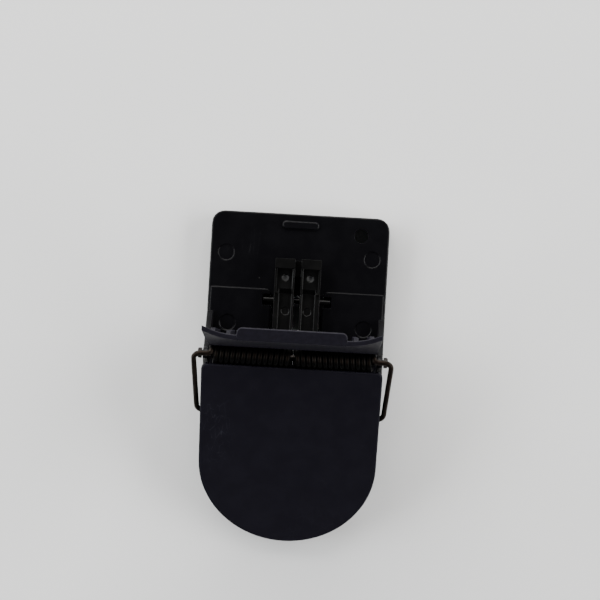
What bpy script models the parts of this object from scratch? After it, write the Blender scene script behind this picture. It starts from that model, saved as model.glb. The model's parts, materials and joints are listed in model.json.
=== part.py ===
# Plastic snap trap, set: the jaw stands open and the bait rocker lies free in front of it.
# +X is to the right, +Y towards the mouth, +Z up; the origin is under the middle, on the ground.
import math

import bmesh
import bpy
from mathutils import Matrix, Vector

MM = 0.001

# Hinge line of jaw and spring, along X. Other lengths are measured from it.
HINGE_Y = 8.64 * MM
HINGE_Z = 34.0 * MM
CLEARANCE = 0.3 * MM

# Base tray
BASE_HALF_WIDTH = 35.0 * MM
BASE_FRONT = 55.8 * MM
BASE_REAR = -36.0 * MM
BASE_HEIGHT = 8.0 * MM
BASE_CORNER = 5.0 * MM
TRAY_WALL = 2.0 * MM
TRAY_TOP = 2.2 * MM
STEP_RISE = 0.3 * MM
STEP_FRONT = 25.7 * MM
CUTOUT_HALF_WIDTH = 9.8 * MM
CUTOUT_FRONT = 23.9 * MM
CUTOUT_REAR = -17.0 * MM
STUB_SLOT_HALF_WIDTH = 13.5 * MM
STUB_SLOT_HALF_LENGTH = 2.15 * MM
TIE_HOLE_RADIUS = 2.75 * MM
TIE_HOLE = (24.0 * MM, 48.5 * MM)
MARK_RADIUS = 3.2 * MM
MARK_DEPTH = 0.25 * MM
MARK_SPOTS = ((28.7 * MM, 39.4 * MM), (26.7 * MM, 11.9 * MM))
LUG_LENGTH = 14.3 * MM
LUG_WIDTH = 2.9 * MM
LUG_RISE = 0.9 * MM
LUG_Y = 51.4 * MM

# Side ears, which lean inwards as they rise
EAR_OUTER_FOOT = 34.9 * MM
EAR_OUTER_TOP = 34.0 * MM
EAR_INNER_FOOT = 32.6 * MM
EAR_INNER_TOP = 32.0 * MM
EAR_FRONT_FOOT = 16.0 * MM
EAR_REAR_FOOT = -15.0 * MM
EAR_BOSS_RADIUS = 2.2 * MM

# Hinge rod and its caps
ROD_RADIUS = 1.1 * MM
ROD_BORE_RADIUS = 1.4 * MM
ROD_HALF_LENGTH = 34.9 * MM
CAP_RADIUS = 2.0 * MM
CAP_INNER_END = 34.35 * MM
CAP_OUTER_END = 35.9 * MM

# Torsion spring
WIRE_RADIUS = 1.0 * MM
COIL_RADIUS = 3.1 * MM
COIL_PITCH = 2.07 * MM
COIL_TURNS_PER_SIDE = 14
COIL_STEPS_PER_TURN = 8
COIL_END_RISE = 0.45 * MM
CENTRE_LEG_ANGLE = math.radians(225.6)
CENTRE_LEG_X = 1.1 * MM
LEG_X = 37.4 * MM
LEG_CORNER_X = 35.7 * MM
LEG_CORNER_ALONG = 23.8 * MM
LEG_TAIL_X = 20.0 * MM
LEG_BEND = 2.4 * MM

# Jaw plate, lip and the C-shaped trough around the coil
JAW_HALF_WIDTH = 31.4 * MM
LIP_HEIGHT = 57.0 * MM
LIP_REAR_Y = 6.5 * MM
WING_THICKNESS = 1.7 * MM
PLATE_THICKNESS = 2.2 * MM
LIP_SWEEP = 2.8 * MM
SWEEP_START = 19.0 * MM
BEAD_HALF_WIDTH = 19.25 * MM
BEAD_REAR_Y = 6.3 * MM
BEAD_FRONT_Y = 11.0 * MM
BEAD_DEPTH = 6.0 * MM
TROUGH_INNER = 4.5 * MM
TROUGH_OUTER = 6.3 * MM
TROUGH_FRONT = math.radians(47.0)
TROUGH_REAR = math.radians(-194.0)
PLATE_RIB_X = (22.5 * MM, 28.0 * MM)
PLATE_RIB_WIDTH = 1.6 * MM

# Catch: two blades below the trough, each with a foot under a rocker tail
BLADE_INNER_X = 2.6 * MM
BLADE_OUTER_X = 4.2 * MM
FOOT_OUTER_X = 8.4 * MM
FOOT_TOP = -26.9 * MM
FOOT_BOTTOM = -29.1 * MM
FOOT_HALF_LENGTH = 1.2 * MM

# Press pad: along runs down the slope from the hinge, up is square to it
PAD_SLOPE = math.radians(24.5)
PAD_HALF_WIDTH = 34.3 * MM
PAD_FRONT = 2.6 * MM
PAD_STRAIGHT_END = 44.4 * MM
PAD_TOP = 4.0 * MM
PAD_UNDERSIDE = 2.0 * MM
PAD_SKIRT_BOTTOM = -0.2 * MM
PAD_SKIRT_START = 8.0 * MM
PAD_WALL = 2.0 * MM
PAD_FRONT_CORNER = 2.5 * MM
PAD_RIB_X = 12.0 * MM
PAD_RIB_START = 9.0 * MM
PAD_RIB_END = PAD_STRAIGHT_END + 30.8 * MM

# Bait rocker
PIVOT_Y = 21.7 * MM
PIVOT_Z = 6.9 * MM
PIVOT_RADIUS = 1.1 * MM
PIVOT_HALF_LENGTH = 13.2 * MM
ARM_INNER_X = 1.25 * MM
ARM_OUTER_X = 9.0 * MM
ARM_REAR = 4.0 * MM
ARM_UNDERSIDE = 5.6 * MM
ARM_FLOOR = 10.6 * MM
ARM_RIM = 11.5 * MM
ARM_WIDE_RIM = 1.9 * MM
ARM_THIN_RIM = 0.8 * MM
SLOPE_REAR = 24.4 * MM
POCKET_REAR = 26.4 * MM
POCKET_RIM = 12.9 * MM
POCKET_FRONT = 34.2 * MM
POCKET_FLOOR = 12.0 * MM
BLOCK_FRONT = 38.0 * MM
BLOCK_TOP = 14.2 * MM
TAIL_INNER_X = 4.7 * MM
TAIL_REAR = -3.6 * MM
TAIL_UNDERSIDE = 9.0 * MM
HOOK_FRONT = -1.5 * MM
HOOK_BOTTOM = 7.7 * MM
BAIT_HOLE_RADIUS = 1.45 * MM
BAIT_HOLE = (4.9 * MM, 30.6 * MM)
PAD_MARK_RADIUS = 1.65 * MM
PAD_MARK = (4.3 * MM, 17.5 * MM)


def make_material(name, colour, roughness, metallic=0.0):
    material = bpy.data.materials.new(name)
    material.use_nodes = True
    shader = material.node_tree.nodes["Principled BSDF"]
    shader.inputs["Base Color"].default_value = (*colour, 1.0)
    shader.inputs["Roughness"].default_value = roughness
    shader.inputs["Metallic"].default_value = metallic
    return material


def make_object(name, geometry):
    """Turn a bmesh into a scene object with its faces pointing out."""
    bmesh.ops.recalc_face_normals(geometry, faces=geometry.faces)
    mesh = bpy.data.meshes.new(name)
    geometry.to_mesh(mesh)
    geometry.free()
    thing = bpy.data.objects.new(name, mesh)
    bpy.context.collection.objects.link(thing)
    return thing


def loft(name, sections):
    """Join closed outlines, each a list of points with the same count, and cap both ends."""
    geometry = bmesh.new()
    rings = [[geometry.verts.new(point) for point in section] for section in sections]
    for ring, following in zip(rings, rings[1:]):
        for i in range(len(ring)):
            j = (i + 1) % len(ring)
            geometry.faces.new((ring[i], ring[j], following[j], following[i]))
    geometry.faces.new(rings[0])
    geometry.faces.new(rings[-1])
    return make_object(name, geometry)


def prism_x(name, outline, x0, x1):
    """Extrude an outline of (y, z) points along X."""
    return loft(name, [[(x, y, z) for y, z in outline] for x in (x0, x1)])


def prism_z(name, outline, z0, z1):
    """Extrude an outline of (x, y) points along Z."""
    return loft(name, [[(x, y, z) for x, y in outline] for z in (z0, z1)])


def box(name, x0, x1, y0, y1, z0, z1):
    return prism_z(name, [(x0, y0), (x1, y0), (x1, y1), (x0, y1)], z0, z1)


def arc(centre, radius, start, end, steps):
    """Points on a circle from the start angle to the end angle, both included."""
    angles = [start + (end - start) * i / steps for i in range(steps + 1)]
    return [(centre[0] + radius * math.cos(a), centre[1] + radius * math.sin(a)) for a in angles]


def rounded_rectangle(x0, x1, y0, y1, radii, steps=5):
    """Radii are those of the corners at (x1, y1), (x0, y1), (x0, y0) and (x1, y0)."""
    corners = ((x1, y1), (x0, y1), (x0, y0), (x1, y0))
    signs = ((-1, -1), (1, -1), (1, 1), (-1, 1))
    outline = []
    for i, ((x, y), (sx, sy), radius) in enumerate(zip(corners, signs, radii)):
        start = i * math.pi / 2
        outline += arc((x + sx * radius, y + sy * radius), radius, start, start + math.pi / 2, steps)
    return outline


def cylinder_x(name, radius, x0, x1, y, z, sides):
    outline = arc((y, z), radius, 0.0, 2 * math.pi * (sides - 1) / sides, sides - 1)
    return prism_x(name, outline, x0, x1)


def cylinder_z(name, radius, x, y, z0, z1, sides):
    outline = arc((x, y), radius, 0.0, 2 * math.pi * (sides - 1) / sides, sides - 1)
    return prism_z(name, outline, z0, z1)


def bevel_edges(thing, chosen, width, segments=2):
    """Round the edges for which chosen(edge) is true."""
    geometry = bmesh.new()
    geometry.from_mesh(thing.data)
    edges = [edge for edge in geometry.edges if chosen(edge)]
    bmesh.ops.bevel(geometry, geom=edges, offset=width, segments=segments, profile=0.5,
                    affect="EDGES", clamp_overlap=True)
    geometry.to_mesh(thing.data)
    geometry.free()


def level_edge(height):
    """A test for edges that lie flat at one height."""
    return lambda edge: all(abs(vert.co.z - height) < 1e-7 for vert in edge.verts)


def combine(target, operation, tools):
    """Apply a Boolean with each tool in turn, then remove the tool."""
    for tool in tools:
        modifier = target.modifiers.new("combine", "BOOLEAN")
        modifier.operation = operation
        modifier.solver = "EXACT"
        modifier.object = tool
        depsgraph = bpy.context.evaluated_depsgraph_get()
        mesh = bpy.data.meshes.new_from_object(target.evaluated_get(depsgraph))
        target.modifiers.clear()
        target.data = mesh
        bpy.data.objects.remove(tool)
    return target


def finish_piece(thing, material, pivot, smooth_angle=30.0):
    """Give the piece its material and put its origin on its pivot, mesh already around it."""
    thing.data.materials.clear()
    thing.data.materials.append(material)
    thing.data.shade_smooth()
    thing.data.set_sharp_from_angle(angle=math.radians(smooth_angle))
    thing.location = pivot
    return thing


# Base tray: heights from the ground, lengths from the hinge line

def make_base():
    half = BASE_HALF_WIDTH
    outline = rounded_rectangle(-half, half, BASE_REAR, BASE_FRONT, (BASE_CORNER,) * 4)
    base = prism_z("base", outline, 0.0, BASE_HEIGHT)
    bevel_edges(base, level_edge(BASE_HEIGHT), 0.7 * MM)

    inner = half - TRAY_WALL
    hollow = rounded_rectangle(-inner, inner, BASE_REAR + TRAY_WALL, BASE_FRONT - TRAY_WALL,
                               (BASE_CORNER - TRAY_WALL,) * 4)
    combine(base, "DIFFERENCE", [prism_z("hollow", hollow, -1.0 * MM, BASE_HEIGHT - TRAY_TOP)])

    additions = [make_lug()]
    for side in (-1, 1):
        additions.append(make_step_panel(side))
        additions.append(make_saddle(side))
        additions.append(make_ear(side))
    combine(base, "UNION", additions)

    slot_y0 = PIVOT_Y - STUB_SLOT_HALF_LENGTH
    slot_y1 = PIVOT_Y + STUB_SLOT_HALF_LENGTH
    slot_floor = PIVOT_Z - PIVOT_RADIUS - 0.35 * MM
    above = BASE_HEIGHT + 2.0 * MM
    cuts = [
        box("cutout", -CUTOUT_HALF_WIDTH, CUTOUT_HALF_WIDTH, CUTOUT_REAR, CUTOUT_FRONT, 4.0 * MM, above),
        box("stub_slot", -STUB_SLOT_HALF_WIDTH, STUB_SLOT_HALF_WIDTH, slot_y0, slot_y1, slot_floor, above),
        cylinder_z("tie_hole", TIE_HOLE_RADIUS, TIE_HOLE[0], TIE_HOLE[1], 4.0 * MM, above, 28),
        cylinder_x("rod_bore", ROD_BORE_RADIUS, -40 * MM, 40 * MM, 0.0, HINGE_Z, 20),
    ]
    for side in (-1, 1):
        for x, y in MARK_SPOTS:
            floor = BASE_HEIGHT - MARK_DEPTH + (STEP_RISE if y < STEP_FRONT else 0.0)
            cuts.append(cylinder_z("mark", MARK_RADIUS, side * x, y, floor, above, 32))
    return combine(base, "DIFFERENCE", cuts)


def make_step_panel(side):
    """The slightly raised rear part of the deck, with one round corner beside the cut-out."""
    near, far = 10.4 * MM, 33.9 * MM
    x0, x1 = (near, far) if side > 0 else (-far, -near)
    radii = (0.3 * MM, 2.0 * MM, 0.3 * MM, 0.3 * MM)
    if side < 0:
        radii = (2.0 * MM, 0.3 * MM, 0.3 * MM, 0.3 * MM)
    outline = rounded_rectangle(x0, x1, BASE_REAR + 3.0 * MM, STEP_FRONT, radii)
    return prism_z("step_panel", outline, BASE_HEIGHT - 1.0 * MM, BASE_HEIGHT + STEP_RISE)


def make_lug():
    half_length, radius = LUG_LENGTH / 2, LUG_WIDTH / 2
    outline = rounded_rectangle(-half_length, half_length, LUG_Y - radius, LUG_Y + radius,
                                (radius * 0.98,) * 4)
    lug = prism_z("lug", outline, BASE_HEIGHT - 1.0 * MM, BASE_HEIGHT + LUG_RISE)
    bevel_edges(lug, level_edge(BASE_HEIGHT + LUG_RISE), 0.35 * MM)
    return lug


def make_saddle(side):
    """A wall under the deck that carries one pivot stub."""
    x0, x1 = sorted((side * 10.8 * MM, side * 12.8 * MM))
    return box("saddle", x0, x1, 17.6 * MM, 26.0 * MM, 0.6 * MM, BASE_HEIGHT - TRAY_TOP + 0.8 * MM)


def make_ear(side):
    foot = BASE_HEIGHT - 1.2 * MM
    boss = arc((0.0, HINGE_Z), EAR_BOSS_RADIUS, math.radians(-10), math.radians(190), 12)
    outline = [(EAR_REAR_FOOT, foot), (EAR_FRONT_FOOT, foot), (EAR_FRONT_FOOT, BASE_HEIGHT + 1.5 * MM),
               (3.2 * MM, HINGE_Z - 5.6 * MM)]
    outline += boss + [(-3.2 * MM, HINGE_Z - 4.0 * MM)]

    def face(x_foot, x_top):
        lean = (x_top - x_foot) / (HINGE_Z - BASE_HEIGHT)
        return [(side * (x_foot + lean * (z - BASE_HEIGHT)), y, z) for y, z in outline]

    return loft("ear", [face(EAR_INNER_FOOT, EAR_INNER_TOP), face(EAR_OUTER_FOOT, EAR_OUTER_TOP)])


# Jaw and press pad, one moulding: everything is measured from the hinge line

def sweep(x, z):
    """How far the lip's outer ends bend towards the mouth."""
    outwards = max(0.0, (abs(x) - SWEEP_START) / (JAW_HALF_WIDTH - SWEEP_START))
    return LIP_SWEEP * outwards ** 2 * max(0.0, z / LIP_HEIGHT) ** 2


def make_jaw_shell():
    """Plate and trough in one section, lofted along X."""
    inner = arc((0.0, 0.0), TROUGH_INNER, TROUGH_FRONT, TROUGH_REAR, 20)
    outer = arc((0.0, 0.0), TROUGH_OUTER, TROUGH_REAR, math.radians(12), 18)
    rear_slope = (LIP_REAR_Y - inner[0][0]) / (LIP_HEIGHT - inner[0][1])
    neck = LIP_HEIGHT - BEAD_DEPTH
    heights = [neck * k / 4 + inner[0][1] for k in (1, 2, 3)] + [neck]
    rear_face = [(inner[0][0] + rear_slope * (z - inner[0][1]), z) for z in heights]
    front_face = [(y + PLATE_THICKNESS, z) for y, z in rear_face]
    lip = [(LIP_REAR_Y + WING_THICKNESS, LIP_HEIGHT), (LIP_REAR_Y, LIP_HEIGHT)]
    outline = inner + outer + front_face + lip + rear_face[::-1]

    stations = [JAW_HALF_WIDTH * k / 10 for k in range(-10, 11)]
    sections = [[(x, y + sweep(x, z), z) for y, z in outline] for x in stations]
    return loft("jaw_lever", sections)


def make_bead():
    """The thick middle of the lip."""
    radius = 1.9 * MM
    outline = rounded_rectangle(-BEAD_HALF_WIDTH, BEAD_HALF_WIDTH, BEAD_REAR_Y, BEAD_FRONT_Y,
                                (radius, radius, 0.6 * MM, 0.6 * MM), 6)
    top = LIP_HEIGHT + 0.15 * MM
    bead = prism_z("bead", outline, LIP_HEIGHT - BEAD_DEPTH, top)
    bevel_edges(bead, level_edge(top), 0.5 * MM)
    return bead


def make_plate_rib(x):
    """A stiffening rib on the mouth side of the plate, which follows the plate's bend."""
    section = [(6.0 * MM, 6.0 * MM), (9.4 * MM, 12.0 * MM), (9.4 * MM, 28.0 * MM), (9.4 * MM, 44.0 * MM),
               (7.0 * MM, 50.0 * MM), (6.6 * MM, 28.0 * MM)]
    outline = [(y + sweep(x, z), z) for y, z in section]
    half = PLATE_RIB_WIDTH / 2
    return prism_x("plate_rib", outline, x - half, x + half)


def make_blade(side):
    outline = [(-4.2 * MM, -4.0 * MM), (0.0, -5.6 * MM), (4.2 * MM, -4.0 * MM),
               (1.3 * MM, FOOT_BOTTOM), (-1.3 * MM, FOOT_BOTTOM)]
    x0, x1 = sorted((side * BLADE_INNER_X, side * BLADE_OUTER_X))
    blade = prism_x("blade", outline, x0, x1)
    x0, x1 = sorted((side * (BLADE_INNER_X + 0.4 * MM), side * FOOT_OUTER_X))
    foot = box("foot", x0, x1, -FOOT_HALF_LENGTH, FOOT_HALF_LENGTH, FOOT_BOTTOM + 0.1 * MM, FOOT_TOP)
    return combine(blade, "UNION", [foot])


def pad_outline(inset, front, corner):
    """The D-shape in (x, along), drawn back from the edge by inset."""
    radius = PAD_HALF_WIDTH - inset
    outline = arc((0.0, PAD_STRAIGHT_END), radius, 0.0, math.pi, 40)
    outline += arc((-radius + corner, front + corner), corner, math.pi, 1.5 * math.pi, 4)
    outline += arc((radius - corner, front + corner), corner, 1.5 * math.pi, 2 * math.pi, 4)
    return outline


def make_press_pad():
    pad = prism_z("press_pad", pad_outline(0.0, PAD_FRONT, PAD_FRONT_CORNER), PAD_SKIRT_BOTTOM, PAD_TOP)
    bevel_edges(pad, level_edge(PAD_TOP), 0.6 * MM, 3)
    below = PAD_SKIRT_BOTTOM - 2.0 * MM
    pocket = prism_z("pocket", pad_outline(PAD_WALL, -8.0 * MM, 0.5 * MM), below, PAD_UNDERSIDE)
    front = box("front", -40 * MM, 40 * MM, -10 * MM, PAD_SKIRT_START, below, PAD_UNDERSIDE)
    notches = []
    for side in (-1, 1):
        x0, x1 = sorted((side * 30.0 * MM, side * 36.0 * MM))
        y0, y1 = LEG_CORNER_ALONG - 3.0 * MM, LEG_CORNER_ALONG + 1.5 * MM
        notches.append(box("notch", x0, x1, y0, y1, below, PAD_UNDERSIDE))
    combine(pad, "DIFFERENCE", [pocket, front] + notches)
    ribs = []
    for x in (-PAD_RIB_X, PAD_RIB_X):
        half = 0.8 * MM
        ribs.append(box("rib", x - half, x + half, PAD_RIB_START, PAD_RIB_END, 0.4 * MM, PAD_UNDERSIDE + 0.5 * MM))
    combine(pad, "UNION", ribs)
    pad.data.transform(pad_frame())
    return pad


def pad_frame():
    """From (x, along, up) on the pad to hinge coordinates; it mirrors, so faces are turned after it."""
    c, s = math.cos(PAD_SLOPE), math.sin(PAD_SLOPE)
    return Matrix(((1, 0, 0, 0), (0, -c, -s, 0), (0, -s, c, 0), (0, 0, 0, 1)))


def make_jaw_lever():
    pad = make_press_pad()
    pad.data.flip_normals()
    clear = JAW_HALF_WIDTH + 0.5 * MM
    combine(pad, "DIFFERENCE", [cylinder_x("coil_space", TROUGH_INNER, -clear, clear, 0.0, 0.0, 48)])

    jaw = make_jaw_shell()
    additions = [pad, make_bead()]
    for side in (-1, 1):
        additions.append(make_blade(side))
        additions += [make_plate_rib(side * x) for x in PLATE_RIB_X]
    combine(jaw, "UNION", additions)

    # window for the spring's centre leg, which stays on the base while the trough turns
    start, end = math.radians(236), math.radians(402)
    sector = arc((0.0, 0.0), 3.5 * MM, start, end, 14) + arc((0.0, 0.0), 8.4 * MM, end, start, 14)
    return combine(jaw, "DIFFERENCE", [prism_x("window", sector, -2.5 * MM, 2.5 * MM)])


# Bait rocker: built in base coordinates, then moved so that its pivot is its origin

def make_arm(side):
    deck = BASE_HEIGHT + 0.6 * MM
    step = CUTOUT_FRONT - 0.5 * MM
    outline = [(TAIL_REAR, HOOK_BOTTOM), (HOOK_FRONT, HOOK_BOTTOM), (HOOK_FRONT, TAIL_UNDERSIDE),
               (ARM_REAR, TAIL_UNDERSIDE), (ARM_REAR, 6.8 * MM), (17.0 * MM, ARM_UNDERSIDE),
               (step, ARM_UNDERSIDE), (step, deck), (BLOCK_FRONT, 10.3 * MM), (BLOCK_FRONT, BLOCK_TOP),
               (POCKET_FRONT, BLOCK_TOP), (POCKET_FRONT, POCKET_RIM), (SLOPE_REAR, POCKET_RIM),
               (SLOPE_REAR, ARM_RIM), (TAIL_REAR, ARM_RIM)]
    arm = prism_x("arm", outline, *sorted((side * ARM_INNER_X, side * ARM_OUTER_X)))

    above = BLOCK_TOP + 1.0 * MM
    floor = [(TAIL_REAR - 1.0 * MM, ARM_FLOOR), (SLOPE_REAR, ARM_FLOOR), (POCKET_REAR, POCKET_FLOOR),
             (POCKET_FRONT, POCKET_FLOOR), (POCKET_FRONT, above), (TAIL_REAR - 1.0 * MM, above)]
    pocket = [(SLOPE_REAR + 0.4 * MM, POCKET_FLOOR), (POCKET_FRONT, POCKET_FLOOR), (POCKET_FRONT, above),
              (SLOPE_REAR + 0.4 * MM, above)]
    rim = ARM_INNER_X + ARM_THIN_RIM
    inside = sorted((0.0, side * TAIL_INNER_X))
    hole_floor = POCKET_FLOOR - 1.2 * MM
    mark_floor = ARM_FLOOR - 0.15 * MM
    cuts = [
        prism_x("floor", floor, *sorted((side * rim, side * (ARM_OUTER_X - ARM_WIDE_RIM)))),
        prism_x("pocket", pocket, *sorted((side * rim * 2, side * (ARM_OUTER_X - ARM_THIN_RIM)))),
        box("tail_gap", *inside, TAIL_REAR - 1.0 * MM, ARM_REAR, HOOK_BOTTOM - 2.0 * MM, above),
        cylinder_z("bait_hole", BAIT_HOLE_RADIUS, side * BAIT_HOLE[0], BAIT_HOLE[1], hole_floor, above, 24),
        cylinder_z("mark", PAD_MARK_RADIUS, side * PAD_MARK[0], PAD_MARK[1], mark_floor, above, 24),
    ]
    return combine(arm, "DIFFERENCE", cuts)


def make_rocker():
    rocker = make_arm(-1)
    rocker.name = "trigger_rocker"
    web_half = ARM_INNER_X + 0.25 * MM
    web = box("web", -web_half, web_half, 31.2 * MM, BLOCK_FRONT - 0.6 * MM, 10.6 * MM, 11.4 * MM)
    half = PIVOT_HALF_LENGTH
    bar = cylinder_x("pivot_bar", PIVOT_RADIUS, -half, half, PIVOT_Y, PIVOT_Z, 20)
    combine(rocker, "UNION", [make_arm(1), web, bar])
    rocker.data.transform(Matrix.Translation((0.0, -PIVOT_Y, -PIVOT_Z)))
    return rocker


# Torsion spring: one wire, from the middle leg out through each coil half to the side legs

def fillet(points, radius, steps=4):
    """A path with each inner corner rounded by an arc."""
    path = [points[0]]
    for before, corner, after in zip(points, points[1:], points[2:]):
        a = (before - corner).normalized()
        b = (after - corner).normalized()
        half_angle = a.angle(b) / 2
        reach = radius / math.tan(half_angle)
        centre = corner + (a + b).normalized() * (radius / math.sin(half_angle))
        start = (corner + a * reach - centre).normalized()
        end = (corner + b * reach - centre).normalized()
        for i in range(steps + 1):
            path.append(centre + radius * start.slerp(end, i / steps))
    path.append(points[-1])
    return path


def spring_half():
    """Points of the half at +X, from the foot of the middle leg outwards."""
    touch_angle = CENTRE_LEG_ANGLE + math.pi / 2
    touch = Vector((CENTRE_LEG_X, COIL_RADIUS * math.cos(touch_angle), COIL_RADIUS * math.sin(touch_angle)))
    down = Vector((0.0, math.cos(CENTRE_LEG_ANGLE), math.sin(CENTRE_LEG_ANGLE)))
    foot_z = BASE_HEIGHT + WIRE_RADIUS + CLEARANCE - HINGE_Z
    foot = touch + down * ((foot_z + 1.0 * MM - touch.z) / down.z)
    bend = [foot + CENTRE_LEG_X * (Vector((math.cos(a) - 1, 0, 0)) + down * math.sin(a))
            for a in (math.pi / 2, math.pi / 4)]

    end_angle = math.radians(80)
    total = (end_angle - touch_angle) % (2 * math.pi) + 2 * math.pi * COIL_TURNS_PER_SIDE
    steps = round(total / (2 * math.pi) * COIL_STEPS_PER_TURN)
    coil = []
    for i in range(steps + 1):
        turned = total * i / steps
        angle = touch_angle + turned
        rise = COIL_END_RISE * max(0.0, 1 - (total - turned) / math.radians(100))
        radius = COIL_RADIUS + rise
        x = CENTRE_LEG_X + COIL_PITCH * turned / (2 * math.pi)
        coil.append(Vector((x, radius * math.cos(angle), radius * math.sin(angle))))

    shoulder = Vector((LEG_X, 0.0, COIL_RADIUS + COIL_END_RISE))
    frame = pad_frame()
    corner = frame @ Vector((LEG_CORNER_X, LEG_CORNER_ALONG, PAD_UNDERSIDE - WIRE_RADIUS - CLEARANCE))
    tail = Vector((LEG_TAIL_X, corner.y, corner.z))
    over_ear = Vector((coil[-1].x + 1.6 * MM, 0.0, shoulder.z))
    leg = fillet([over_ear, shoulder, corner, tail], LEG_BEND)
    return bend + [foot] + coil + leg


def make_spring():
    half = spring_half()
    mirrored = [Vector((-p.x, p.y, p.z)) for p in reversed(half)]
    points = mirrored + half[1:]
    curve = bpy.data.curves.new("torsion_spring", "CURVE")
    curve.dimensions = "3D"
    curve.bevel_depth = WIRE_RADIUS
    curve.bevel_resolution = 1
    curve.use_fill_caps = True
    spline = curve.splines.new("POLY")
    spline.points.add(len(points) - 1)
    for point, place in zip(spline.points, points):
        point.co = (*place, 1.0)
    spring = bpy.data.objects.new("torsion_spring", curve)
    bpy.context.collection.objects.link(spring)
    return spring


# Hinge rod and the push-on caps over its ends

def make_cap(side):
    bore = ROD_RADIUS + CLEARANCE
    rim = 0.35 * MM
    profile = [(CAP_INNER_END, bore), (CAP_INNER_END, CAP_RADIUS), (CAP_OUTER_END - rim, CAP_RADIUS),
               (CAP_OUTER_END, CAP_RADIUS - rim), (CAP_OUTER_END, 0.0),
               (ROD_HALF_LENGTH + CLEARANCE, 0.0), (ROD_HALF_LENGTH + CLEARANCE, bore)]
    geometry = bmesh.new()
    verts = [geometry.verts.new((side * x, 0.0, r)) for x, r in profile]
    edges = [geometry.edges.new((verts[i], verts[(i + 1) % len(verts)])) for i in range(len(verts))]
    bmesh.ops.spin(geometry, geom=verts + edges, cent=(0, 0, 0), axis=(1, 0, 0),
                   angle=2 * math.pi, steps=20, use_merge=True)
    bmesh.ops.remove_doubles(geometry, verts=geometry.verts, dist=1e-7)
    bmesh.ops.dissolve_degenerate(geometry, edges=geometry.edges, dist=1e-8)
    loose = [edge for edge in geometry.edges if not edge.link_faces]
    bmesh.ops.delete(geometry, geom=loose, context="EDGES")
    return make_object("rod_cap_right" if side > 0 else "rod_cap_left", geometry)


def main():
    for thing in list(bpy.data.objects):
        bpy.data.objects.remove(thing)

    black_plastic = make_material("base_plastic", (0.012, 0.012, 0.013), 0.45)
    jaw_plastic = make_material("jaw_plastic", (0.014, 0.015, 0.019), 0.38)
    rocker_plastic = make_material("rocker_plastic", (0.016, 0.016, 0.016), 0.5)
    spring_steel = make_material("spring_steel", (0.05, 0.04, 0.034), 0.42, 0.85)
    rod_steel = make_material("rod_steel", (0.35, 0.35, 0.36), 0.35, 1.0)
    cap_steel = make_material("cap_steel", (0.08, 0.08, 0.085), 0.45, 0.8)

    ground_line = Vector((0.0, HINGE_Y, 0.0))
    hinge = Vector((0.0, HINGE_Y, HINGE_Z))
    rocker_pivot = Vector((0.0, HINGE_Y + PIVOT_Y, PIVOT_Z))

    finish_piece(make_base(), black_plastic, ground_line)
    finish_piece(make_jaw_lever(), jaw_plastic, hinge)
    finish_piece(make_rocker(), rocker_plastic, rocker_pivot)
    spring = make_spring()
    spring.data.materials.append(spring_steel)
    spring.location = hinge
    rod = cylinder_x("hinge_rod", ROD_RADIUS, -ROD_HALF_LENGTH, ROD_HALF_LENGTH, 0.0, 0.0, 20)
    finish_piece(rod, rod_steel, hinge)
    for side in (-1, 1):
        finish_piece(make_cap(side), cap_steel, hinge)


main()
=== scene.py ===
import json
import math

import bmesh
import bpy
from mathutils import Matrix, Vector
from mathutils.bvhtree import BVHTree


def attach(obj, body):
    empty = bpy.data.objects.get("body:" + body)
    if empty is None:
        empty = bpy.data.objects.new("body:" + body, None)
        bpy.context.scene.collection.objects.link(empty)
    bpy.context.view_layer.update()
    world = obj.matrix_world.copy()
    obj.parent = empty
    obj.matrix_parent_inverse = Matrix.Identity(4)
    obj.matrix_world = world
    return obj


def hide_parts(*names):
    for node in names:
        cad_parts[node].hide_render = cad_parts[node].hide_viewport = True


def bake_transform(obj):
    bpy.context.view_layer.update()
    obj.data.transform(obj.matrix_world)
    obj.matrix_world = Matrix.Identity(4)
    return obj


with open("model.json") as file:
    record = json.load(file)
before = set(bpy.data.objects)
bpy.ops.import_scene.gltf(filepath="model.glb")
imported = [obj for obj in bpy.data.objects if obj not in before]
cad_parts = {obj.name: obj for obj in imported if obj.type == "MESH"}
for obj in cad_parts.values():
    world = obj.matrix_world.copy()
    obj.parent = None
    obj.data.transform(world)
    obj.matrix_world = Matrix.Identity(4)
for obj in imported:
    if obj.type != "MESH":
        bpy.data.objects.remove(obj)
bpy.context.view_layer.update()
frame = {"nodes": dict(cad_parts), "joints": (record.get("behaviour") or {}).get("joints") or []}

mm = 0.001
hinge = Vector(next(joint["pos_m"] for joint in frame["joints"] if joint["name"] == "jaw_hinge"))
deckTop = 8.0 * mm
print("frame loaded:", ", ".join(sorted(frame["nodes"])))


camera = {"aside": 7.5 * mm, "ahead": 17.4 * mm, "height": 687.7 * mm, "turn": 3.24, "tip": 0.43, "roll": 0.5,
          "lens": 103.8, "near": 0.01, "far": 20}


def placeCamera():
    data = bpy.data.cameras.new("topCamera")
    data.lens = camera["lens"]
    data.clip_start = camera["near"]
    data.clip_end = camera["far"]
    thing = bpy.data.objects.new("topCamera", data)
    bpy.context.collection.objects.link(thing)
    thing.location = (camera["aside"], hinge.y + camera["ahead"], camera["height"])
    turn, tip, roll = (Matrix.Rotation(math.radians(camera[key]), 4, axis)
                       for key, axis in (("turn", "Z"), ("tip", "X"), ("roll", "Y")))
    thing.rotation_euler = (turn @ tip @ roll).to_euler()
    bpy.context.scene.camera = thing


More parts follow.
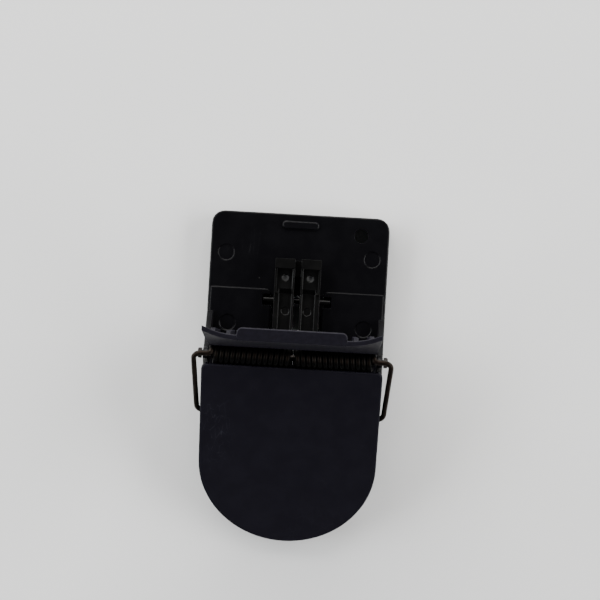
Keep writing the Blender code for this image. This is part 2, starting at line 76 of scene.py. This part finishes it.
# power in watts, size in metres; the lamps stand low and far out, so level black faces stay dark from above
lamps = {
    "mouthLamp": {"place": (-0.3, 1.9, 0.95), "size": (2.8, 1.1), "power": 92, "tint": (1, 0.985, 0.96)},
    "leftLamp": {"place": (-1.9, 0.35, 0.9), "size": (2.4, 1.1), "power": 76, "tint": (0.96, 0.98, 1)},
    "rightLamp": {"place": (1.9, 0.15, 0.9), "size": (2.4, 1.1), "power": 76, "tint": (1, 1, 1)},
    "rearLamp": {"place": (0.2, -2.3, 0.35), "size": (2.4, 0.6), "power": 4, "tint": (0.95, 0.97, 1)},
}


def placeLamps():
    for name, lamp in lamps.items():
        data = bpy.data.lights.new(name, "AREA")
        data.shape = "RECTANGLE"
        data.size, data.size_y = lamp["size"]
        data.energy = lamp["power"]
        data.color = lamp["tint"]
        thing = bpy.data.objects.new(name, data)
        bpy.context.collection.objects.link(thing)
        thing.location = lamp["place"]
        thing.rotation_euler = (-thing.location).to_track_quat("-Z", "Y").to_euler()


placeCamera()
placeLamps()
print("camera and lamps placed")


class Flow:
    # one node's output; arithmetic on it adds Math nodes
    def __init__(self, recipe, socket):
        self.recipe = recipe
        self.socket = socket

    def maths(self, operation, *values, clamp=False):
        return self.recipe.node("ShaderNodeMath", {"operation": operation, "use_clamp": clamp},
                                dict(enumerate(values)))

    def __add__(self, other):
        return self.maths("ADD", self, other)

    __radd__ = __add__

    def __mul__(self, other):
        return self.maths("MULTIPLY", self, other)

    __rmul__ = __mul__

    def __sub__(self, other):
        return self.maths("SUBTRACT", self, other)

    def __rsub__(self, other):
        return self.maths("SUBTRACT", other, self)

    def __truediv__(self, other):
        return self.maths("DIVIDE", self, other)

    def __rtruediv__(self, other):
        return self.maths("DIVIDE", other, self)

    def __pow__(self, other):
        return self.maths("POWER", self, other)

    def __rpow__(self, other):
        return self.maths("POWER", other, self)

    def over(self, limit):
        return self.maths("GREATER_THAN", self, limit)

    def size(self):
        return self.maths("ABSOLUTE", self)

    def clamped(self):
        return self.maths("ADD", self, 0.0, clamp=True)

    def most(self, other):
        return self.maths("MAXIMUM", self, other)

    def ramp(self, low, high, start=0, end=1):
        # start below low, end above high, eased between
        return self.recipe.node("ShaderNodeMapRange", {"interpolation_type": "SMOOTHSTEP"}, {
            "Value": self, "From Min": low, "From Max": high, "To Min": start, "To Max": end}, "Result")


class Recipe:
    # the nodes of one material or of the world
    def __init__(self, tree):
        self.tree = tree

    def feed(self, slot, value):
        if isinstance(value, Flow):
            self.tree.links.new(value.socket, slot)
        elif slot.type == "RGBA":
            slot.default_value = (*value, 1)
        else:
            slot.default_value = value

    def node(self, kind, settings=None, sockets=None, out=0):
        # settings come first, since they decide which sockets a node has
        node = self.tree.nodes.new(kind)
        for key, value in (settings or {}).items():
            setattr(node, key, value)
        for key, value in (sockets or {}).items():
            self.feed(node.inputs[key], value)
        return Flow(self, node.outputs[out])

    def axes(self, place):
        split = self.node("ShaderNodeSeparateXYZ", sockets={"Vector": place})
        return [Flow(self, output) for output in split.socket.node.outputs]


class Finish(Recipe):
    # a material being written, with the nodes used most; fixed holds sockets that stay the same all over
    def __init__(self, name, fixed=None):
        self.material = bpy.data.materials.new(name)
        self.material.use_nodes = True
        super().__init__(self.material.node_tree)
        self.shader = self.tree.nodes["Principled BSDF"]
        for socket, value in (fixed or {}).items():
            self.shader.inputs[socket].default_value = value
        self.place = self.node("ShaderNodeTexCoord", out="Object")

    def stretched(self, scale, turn):
        return self.node("ShaderNodeMapping", sockets={
            "Vector": self.place, "Scale": scale, "Rotation": (0, 0, math.radians(turn))}, out="Vector")

    def noise(self, scale, detail=3, rough=0.5):
        return self.node("ShaderNodeTexNoise", sockets={
            "Vector": self.place, "Scale": scale, "Detail": detail, "Roughness": rough}, out="Fac")

    def cells(self, scale, place=None, feature="F1", out="Distance"):
        return self.node("ShaderNodeTexVoronoi", {"feature": feature}, {
            "Vector": place or self.place, "Scale": scale}, out)

    def mix(self, amount, low, high):
        # sockets 6 and 7 and output 2 are the colours of a Mix node
        return self.node("ShaderNodeMix", {"data_type": "RGBA"}, {"Factor": amount, 6: low, 7: high}, 2)

    def roundedEdgeFaces(self):
        # 1 on the faces that round an edge, 0 elsewhere
        return self.node("ShaderNodeAttribute", {"attribute_name": "edge"}, out="Fac")

    def bump(self, height, distance, strength=1.0, under=None):
        sockets = {"Height": height, "Distance": distance, "Strength": strength}
        if under:
            sockets["Normal"] = under
        return self.node("ShaderNodeBump", sockets=sockets, out="Normal")

    def done(self, colour, rough, normal):
        for key, value in (("Base Color", colour), ("Roughness", rough), ("Normal", normal)):
            self.feed(self.shader.inputs[key], value)
        return self.material


# strengths; bright round the horizon, dark overhead, and below the horizon as pale as the floor
air = {"horizon": 0.22, "zenith": 0.055, "below": 0.72, "darkFrom": 0.62, "blur": 0.01,
       "tint": (0.93, 0.96, 1)}


def studioAir():
    world = bpy.data.worlds.new("studioAir")
    world.use_nodes = True
    recipe = Recipe(world.node_tree)
    height = recipe.axes(recipe.node("ShaderNodeTexCoord", out="Generated"))[2]
    overhead = height.ramp(0, air["darkFrom"], air["horizon"], air["zenith"])
    beneath = height.ramp(-air["blur"], air["blur"], air["below"] / air["horizon"], 1)
    background = world.node_tree.nodes["Background"]
    recipe.feed(background.inputs["Strength"], overhead * beneath)
    recipe.feed(background.inputs["Color"], air["tint"])
    bpy.context.scene.world = world


studioAir()
print("air lit")


scratch = {"narrow": 0.045, "line": 0.012, "patchScale": 0.12, "patchFade": 0.06}
wear = {
    "cloudScale": 150, "grainScale": 1900, "grainShare": 0.5, "rubScale": 260, "edgeWearAndSheenShare": 0.6,
    "scratchScale": 420, "crossScale": 300, "crossTurn": 63, "crossShare": 0.6, "scratchDepth": 0.02 * mm,
    "dustScale": 330, "dustSize": 0.05, "dustShare": 0.05, "dustTone": (0.20, 0.20, 0.19),
}


def scratches(finish, scale, angle, share):
    # thin short lines lying one way: cells stretched far along one axis, cut by patches of noise
    line = finish.cells(scale, finish.stretched((1, scratch["narrow"], 1), angle), "DISTANCE_TO_EDGE")
    bare = 1 - share
    patch = finish.noise(scale * scratch["patchScale"], 2, 0.6).ramp(bare, bare + scratch["patchFade"])
    return (1 - line.ramp(0, scratch["line"])) * patch


def specks(finish, scale, size, share):
    # a few round dust specks: only cells whose own random value is high get one
    dot = 1 - finish.cells(scale).ramp(size * 0.6, size)
    chosen = finish.axes(finish.cells(scale, out="Color"))[0].over(1 - share)
    return dot * chosen


def mouldedPlastic(name, look, lighter=()):
    # injection-moulded black plastic: flow clouds, pebbled grain, handling scratches, dust, and rounded edges
    # made paler, partly as wear and partly as a painted highlight;
    # lighter holds pairs of a mask maker and a colour, for places that differ
    finish = Finish(name, {"IOR": 1.49, "Specular IOR Level": look["gloss"]})
    clouds = finish.noise(wear["cloudScale"], 5, 0.6).ramp(0.34, 0.70)
    pebble = finish.noise(wear["grainScale"], 3, 0.6)
    marks = scratches(finish, wear["scratchScale"], look["scratchTurn"], look["scratchShare"])
    cross = scratches(finish, wear["crossScale"], look["scratchTurn"] + wear["crossTurn"],
                      look["scratchShare"] * wear["crossShare"])
    scored = marks.most(cross)
    dust = specks(finish, wear["dustScale"], wear["dustSize"], wear["dustShare"])
    edgeWearAndSheen = (finish.roundedEdgeFaces() * finish.noise(wear["rubScale"], 3, 0.6).ramp(0.30, 0.62)).clamped()
    colour = finish.mix(clouds, look["black"], look["greyer"])
    for mask, tone in lighter:
        colour = finish.mix(mask(finish), colour, tone)
    colour = finish.mix(scored * 0.5, colour, look["edgeGrey"])
    # painted highlight: rounded edges go paler in patches, partly wear and partly the light caught on the
    # edges
    colour = finish.mix(edgeWearAndSheen * wear["edgeWearAndSheenShare"], colour, look["edgeGrey"])
    colour = finish.mix(dust * 0.7, colour, wear["dustTone"])
    rough = look["rough"] + 0.025 * clouds + 0.16 * scored - 0.04 * edgeWearAndSheen + 0.3 * dust
    normal = finish.bump(pebble, look["grain"], wear["grainShare"])
    normal = finish.bump(1 - scored, wear["scratchDepth"], 0.6, normal)
    return finish.done(colour, rough, normal)


rounding = {"width": 0.24 * mm, "rings": 2, "fromAngle": 28, "strayFrom": 0.75}
weld = {"same": 0.001 * mm, "sliver": 0.06 * mm, "flatAngle": 0.6}


def weldedMesh(node):
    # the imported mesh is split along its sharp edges, so it is welded and its flat faces joined up first
    geometry = bmesh.new()
    geometry.from_mesh(frame["nodes"][node].data)
    bmesh.ops.remove_doubles(geometry, verts=geometry.verts, dist=weld["same"])
    bmesh.ops.dissolve_limit(geometry, angle_limit=math.radians(weld["flatAngle"]), verts=geometry.verts,
                             edges=geometry.edges)
    bmesh.ops.remove_doubles(geometry, verts=geometry.verts, dist=weld["sliver"])
    bmesh.ops.dissolve_degenerate(geometry, edges=geometry.edges, dist=weld["same"])
    return geometry


def roundEdges(geometry, width):
    # every sharp edge gets a small radius; vertices that fly off a tight corner go back on the old surface
    before = BVHTree.FromBMesh(geometry)
    sharp = [edge for edge in geometry.edges
             if len(edge.link_faces) == 2 and edge.calc_face_angle(0) > math.radians(rounding["fromAngle"])]
    made = bmesh.ops.bevel(geometry, geom=sharp, offset=width, offset_type="OFFSET",
                           segments=rounding["rings"], profile=0.5, affect="EDGES", clamp_overlap=False)
    strays = 0
    for vert in geometry.verts:
        spot, _, _, gap = before.find_nearest(vert.co)
        if gap > rounding["strayFrom"] * width:
            vert.co = spot
            strays += 1
    rounded = set(made["faces"])
    return {vert.index for vert in geometry.verts if all(face in rounded for face in vert.link_faces)}, strays


def finishedObject(name, geometry, material, sharpFrom):
    mesh = bpy.data.meshes.new(name)
    geometry.to_mesh(mesh)
    geometry.free()
    for face in mesh.polygons:
        face.use_smooth = True
    mesh.set_sharp_from_angle(angle=math.radians(sharpFrom))
    mesh.materials.append(material)
    thing = bpy.data.objects.new(name, mesh)
    bpy.context.collection.objects.link(thing)
    return thing


def fineCopy(name, node, body, material, width=rounding["width"]):
    geometry = weldedMesh(node)
    ridge, strays = roundEdges(geometry, width)
    geometry.verts.index_update()
    geometry.normal_update()
    thing = finishedObject(name, geometry, material, rounding["fromAngle"])
    edge = thing.data.attributes.new("edge", "FLOAT", "POINT")
    edge.data.foreach_set("value", [1.0 if i in ridge else 0.0 for i in range(len(thing.data.vertices))])
    level = thing.modifiers.new("flat faces shade flat", "WEIGHTED_NORMAL")
    level.keep_sharp = True
    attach(thing, body)
    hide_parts(node)
    print(name, "has", len(thing.data.polygons), "faces,", strays, "corners set back")


tray = {
    "black": (0.0023, 0.0022, 0.0028), "greyer": (0.0031, 0.0030, 0.0037), "edgeGrey": (0.010, 0.010, 0.0115),
    "rough": 0.28, "grain": 0.012 * mm, "scratchTurn": 20, "scratchShare": 0.34, "gloss": 0.11,
}

fineCopy("ribbedTray", "base", "tray", mouldedPlastic("blackBasePlastic", tray))
print("tray done")


jaw = {
    "black": (0.0080, 0.0073, 0.0112), "greyer": (0.0096, 0.0088, 0.0132), "edgeGrey": (0.024, 0.024, 0.031),
    "rough": 0.50, "grain": 0.02 * mm, "scratchTurn": 75, "scratchShare": 0.40, "gloss": 0.05,
}
lip = {"from": 74 * mm, "to": 90 * mm, "tone": (0.0060, 0.0055, 0.0082), "blotchScale": 700,
       "edgeWearAndHighlightTone": (0.022, 0.020, 0.027), "edgeScale": 420}
scuff = {"x": -28 * mm, "y": -20 * mm, "wide": 8 * mm, "long": 15 * mm, "tone": (0.030, 0.031, 0.040),
         "lineScale": 520, "narrow": 0.06, "turn": 72, "line": 0.03, "patchScale": 300}


def lipHeight(finish):
    return finish.axes(finish.place)[2].ramp(lip["from"], lip["to"])


def mottledLip(finish):
    # the jaw's lip band, 74 to 90 mm up, is coloured darker than the rest of the jaw, in small blotches
    return lipHeight(finish) * (0.35 + 0.65 * finish.noise(lip["blotchScale"], 4, 0.7).ramp(0.35, 0.65))


# painted highlight: the lip's rounded edges go paler in patches, partly wear and partly the light caught
# along them
def lipEdgeWearAndHighlight(finish):
    patches = 0.4 + 0.6 * finish.noise(lip["edgeScale"], 3, 0.6).ramp(0.35, 0.6)
    return (lipHeight(finish) * finish.roundedEdgeFaces() * patches).clamped()


def scuffedPad(finish):
    # fine rubbing marks near the pad's left side
    x, y, _ = finish.axes(finish.place)
    away = ((x - scuff["x"]) / scuff["wide"]) ** 2 + ((y - scuff["y"]) / scuff["long"]) ** 2
    lines = finish.cells(scuff["lineScale"], finish.stretched((1, scuff["narrow"], 1), scuff["turn"]),
                         "DISTANCE_TO_EDGE")
    patches = finish.noise(scuff["patchScale"], 3, 0.6).ramp(0.42, 0.6)
    return (1 - away).clamped() * (1 - lines.ramp(0, scuff["line"])) * patches


jawMarksAndHighlights = [(mottledLip, lip["tone"]), (lipEdgeWearAndHighlight, lip["edgeWearAndHighlightTone"]), (scuffedPad, scuff["tone"])]
jawPlastic = mouldedPlastic("blueBlackJawPlastic", jaw, jawMarksAndHighlights)
fineCopy("jawAndPad", "jaw_lever", "jaw", jawPlastic)
print("jaw done")


rocker = {
    "black": (0.0026, 0.0026, 0.0026), "greyer": (0.0042, 0.0041, 0.0040), "edgeGrey": (0.015, 0.015, 0.015),
    "rough": 0.29, "grain": 0.012 * mm, "scratchTurn": 8, "scratchShare": 0.25, "gloss": 0.15,
    "rounding": 0.2 * mm,
}
baitHole = {"aside": 4.9 * mm, "ahead": 30.6 * mm, "radius": 1.45 * mm, "blur": 0.35 * mm, "floor": 10.8 * mm,
            "tone": (0.15, 0.15, 0.148)}


# painted light: the bait holes' floors are painted pale grey, as the light that reaches into them
def litBaitHoleFloor(finish):
    x, y, z = finish.axes(finish.place)
    gap = ((x.size() - baitHole["aside"]) ** 2 + (y - (hinge.y + baitHole["ahead"])) ** 2) ** 0.5
    inside = 1 - gap.ramp(baitHole["radius"] - baitHole["blur"], baitHole["radius"])
    return inside * (1 - z.ramp(baitHole["floor"] + 0.2 * mm, baitHole["floor"] + 0.5 * mm))


rockerPlastic = mouldedPlastic("blackRockerPlastic", rocker, [(litBaitHoleFloor, baitHole["tone"])])
fineCopy("baitRocker", "trigger_rocker", "rocker", rockerPlastic, rocker["rounding"])
print("rocker done")


wire = {"radius": 1.0 * mm, "sides": 14, "stepsPerTurn": 26, "endRounding": 0.18 * mm, "sharpFrom": 50}
coil = {"radius": 3.1 * mm, "pitch": 2.07 * mm, "turns": 14, "startAngle": 315.6, "endAngle": 80,
        "endRise": 0.45 * mm, "riseOver": 100, "startX": 1.1 * mm}
sideLeg = {"x": 37.4 * mm, "cornerX": 35.7 * mm, "along": 23.8 * mm, "underPad": 0.7 * mm, "tailX": 20 * mm,
           "bend": 2.4 * mm, "bendSteps": 10, "padSlope": 24.5, "lead": 1.6 * mm}
middleLeg = {"angle": 225.6, "restsAt": deckTop + 1.3 * mm, "steps": 6}
# the coil's near-black flank colour is painted shade, not oil
springSteel = {
    "dark": (0.009, 0.0065, 0.005), "brown": (0.017, 0.011, 0.008), "bright": (0.045, 0.036, 0.031),
    "paintedFlankShade": (0.0007, 0.0006, 0.0005), "ridgeFrom": 3.75 * mm, "ridgeTo": 4.1 * mm,
    "flakeScale": 700, "drawnScale": 2600, "drawnDepth": 0.02 * mm, "rubScale": 180,
}


def coilPoint(turned, total):
    # degrees turned from the start of one half of the coil, at +X
    angle = math.radians(coil["startAngle"] + turned)
    radius = coil["radius"] + coil["endRise"] * max(0.0, 1 - (total - turned) / coil["riseOver"])
    x = coil["startX"] + coil["pitch"] * turned / 360
    return Vector((x, radius * math.cos(angle), radius * math.sin(angle)))


def roundedPath(points, radius, steps):
    path = [points[0]]
    for before, corner, after in zip(points, points[1:], points[2:]):
        a = (before - corner).normalized()
        b = (after - corner).normalized()
        half = a.angle(b) / 2
        centre = corner + (a + b).normalized() * (radius / math.sin(half))
        start = (corner + a * (radius / math.tan(half)) - centre).normalized()
        end = (corner + b * (radius / math.tan(half)) - centre).normalized()
        path += [centre + radius * start.slerp(end, i / steps) for i in range(steps + 1)]
    return path + [points[-1]]


def wireRings(geometry, points):
    # rings of vertices carried along the points without twist
    tangents = [(after - before).normalized()
                for before, after in zip(points[:1] + points[:-1], points[1:] + points[-1:])]
    side = tangents[0].orthogonal().normalized()
    turns = [2 * math.pi * k / wire["sides"] for k in range(wire["sides"])]
    rings = []
    for point, tangent in zip(points, tangents):
        side = (side - tangent * side.dot(tangent)).normalized()
        other = tangent.cross(side)
        spokes = [wire["radius"] * (side * math.cos(turn) + other * math.sin(turn)) for turn in turns]
        rings.append([geometry.verts.new(hinge + point + spoke) for spoke in spokes])
    return rings


def wirePiece(name, points, material):
    # a round wire along the points, with its ends slightly domed
    geometry = bmesh.new()
    rings = wireRings(geometry, points)
    for low, high in zip(rings, rings[1:]):
        for k in range(wire["sides"]):
            following = (k + 1) % wire["sides"]
            geometry.faces.new((low[k], low[following], high[following], high[k]))
    ends = [geometry.faces.new(list(reversed(rings[0]))), geometry.faces.new(rings[-1])]
    rims = [edge for face in ends for edge in face.edges]
    bmesh.ops.bevel(geometry, geom=rims, offset=wire["endRounding"], segments=2, profile=0.5, affect="EDGES")
    bmesh.ops.recalc_face_normals(geometry, faces=geometry.faces)
    thing = finishedObject(name, geometry, material, wire["sharpFrom"])
    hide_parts("torsion_spring")
    return thing


def oiledSteel(name, paintCoilFlankShade):
    # oil-tempered wire: brown-black scale with drawing marks and rubbed lighter patches;
    # on the coil, the flanks are painted near-black as painted shade, and only the ridge along the top keeps
    # the wire's brown, so it reads as lit
    finish = Finish(name, {"Metallic": 0.8, "Specular IOR Level": 0.2})
    flakes = finish.noise(springSteel["flakeScale"], 4, 0.6).ramp(0.35, 0.7)
    drawn = finish.noise(springSteel["drawnScale"], 2, 0.5)
    rubbed = finish.noise(springSteel["rubScale"], 3, 0.65).ramp(0.55, 0.72)
    colour = finish.mix(flakes, springSteel["dark"], springSteel["brown"])
    colour = finish.mix(rubbed * 0.35, colour, springSteel["bright"])
    rough = 0.44 + 0.12 * flakes - 0.08 * rubbed
    # painted shade: below the top ridge the coil, and the middle leg with it, go near-black by height above
    # the hinge
    if paintCoilFlankShade:
        height = finish.axes(finish.place)[2] - hinge.z
        ridge = height.ramp(springSteel["ridgeFrom"], springSteel["ridgeTo"])
        colour = finish.mix(ridge, springSteel["paintedFlankShade"], colour)
        rough = rough + 0.1 * (1 - ridge)
    return finish.done(colour, rough, finish.bump(drawn, springSteel["drawnDepth"], 0.4))


def mirrored(points):
    return [Vector((-point.x, point.y, point.z)) for point in points]


def coilHalf():
    total = coil["turns"] * 360 + (coil["endAngle"] - coil["startAngle"]) % 360
    steps = round(total / 360 * wire["stepsPerTurn"])
    return [coilPoint(total * i / steps, total) for i in range(steps + 1)]


def sideLegPath(turns):
    # from the coil's end out over the pad's edge, back along it and in below the pad
    slope = math.radians(sideLeg["padSlope"])
    over = coil["radius"] + coil["endRise"]
    lead = Vector((turns[-1].x + sideLeg["lead"], 0, over))
    shoulder = Vector((sideLeg["x"], 0, over))
    corner = Vector((sideLeg["cornerX"],
                     -math.cos(slope) * sideLeg["along"] - math.sin(slope) * sideLeg["underPad"],
                     -math.sin(slope) * sideLeg["along"] + math.cos(slope) * sideLeg["underPad"]))
    tail = Vector((sideLeg["tailX"], corner.y, corner.z))
    return [turns[-2], turns[-1]] + roundedPath([lead, shoulder, corner, tail], sideLeg["bend"],
                                                sideLeg["bendSteps"])


def middleLegPath(turns):
    # down from one half of the coil, round a half circle on the deck and up to the other half
    angle = math.radians(middleLeg["angle"])
    down = Vector((0, math.cos(angle), math.sin(angle)))
    drop = middleLeg["restsAt"] - hinge.z + wire["radius"] - turns[0].z
    foot = turns[0] + down * (drop / down.z)
    steps = middleLeg["steps"]
    straight = [turns[0].lerp(foot, i / steps) for i in range(steps + 1)]
    angles = [math.radians(90 * i / steps) for i in range(1, steps + 1)]
    bend = [foot + coil["startX"] * (Vector((math.cos(a) - 1, 0, 0)) + down * math.sin(a)) for a in angles]
    half = [turns[1]] + straight + bend
    return half + mirrored(reversed(half[:-1]))


def woundSpring():
    flankShadedCoilSteel = oiledSteel("coilSteelWithPaintedShade", True)
    legSteel = oiledSteel("brownLegSteel", False)
    turns = coilHalf()
    leg = sideLegPath(turns)
    middle = middleLegPath(turns)
    for name, side in (("Right", 1), ("Left", -1)):
        half = wirePiece("springCoil" + name, turns if side > 0 else mirrored(turns), flankShadedCoilSteel)
        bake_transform(half)
        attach(wirePiece("springLeg" + name, leg if side > 0 else mirrored(leg), legSteel), "jaw")
    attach(wirePiece("springMiddleLeg", middle, flankShadedCoilSteel), "tray")
    print("spring wound,", len(turns), "rings a side")


woundSpring()


rod = {"tint": (0.045, 0.040, 0.037), "rough": 0.38, "rounding": 0.15 * mm}
cap = {"tint": (0.028, 0.026, 0.025), "rough": 0.42, "rounding": 0.12 * mm}
tarnish = {"dullScale": 900, "dullShare": 0.62, "dullDepth": 0.01 * mm, "spotScale": 2400,
           "spotTone": (0.06, 0.045, 0.035)}


def dullSteel(name, look):
    finish = Finish(name, {"Metallic": 1.0})
    dull = finish.noise(tarnish["dullScale"], 4, 0.6).ramp(0.35, 0.7)
    spots = finish.noise(tarnish["spotScale"], 2, 0.5).ramp(0.62, 0.75)
    colour = finish.mix(dull, look["tint"], tuple(part * tarnish["dullShare"] for part in look["tint"]))
    colour = finish.mix(spots * 0.5, colour, tarnish["spotTone"])
    return finish.done(colour, look["rough"] + 0.15 * dull + 0.2 * spots,
                       finish.bump(dull, tarnish["dullDepth"], 0.5))


fineCopy("hingeRod", "hinge_rod", "tray", dullSteel("drawnRodSteel", rod), rod["rounding"])
capSteel = dullSteel("darkCapSteel", cap)
for side in ("left", "right"):
    fineCopy("pushCap" + side.capitalize(), "rod_cap_" + side, "tray", capSteel, cap["rounding"])
print("rod and caps done")


ground = {"halfSize": 3, "pale": (0.80, 0.80, 0.79), "paler": (0.84, 0.84, 0.835), "cloudScale": 14,
          "rough": 0.72, "grainScale": 500, "grain": 0.05 * mm}


def paleFloor():
    finish = Finish("paleFloor")
    tone = finish.noise(ground["cloudScale"])
    colour = finish.mix(tone, ground["pale"], ground["paler"])
    grain = finish.bump(finish.noise(ground["grainScale"], 2), ground["grain"], 0.3)
    material = finish.done(colour, ground["rough"] + 0.1 * tone, grain)
    geometry = bmesh.new()
    bmesh.ops.create_grid(geometry, x_segments=4, y_segments=4, size=ground["halfSize"])
    mesh = bpy.data.meshes.new("paleFloor")
    geometry.to_mesh(mesh)
    geometry.free()
    mesh.materials.append(material)
    thing = bpy.data.objects.new("paleFloor", mesh)
    bpy.context.collection.objects.link(thing)


paleFloor()
print("floor done")

bpy.context.view_layer.update()
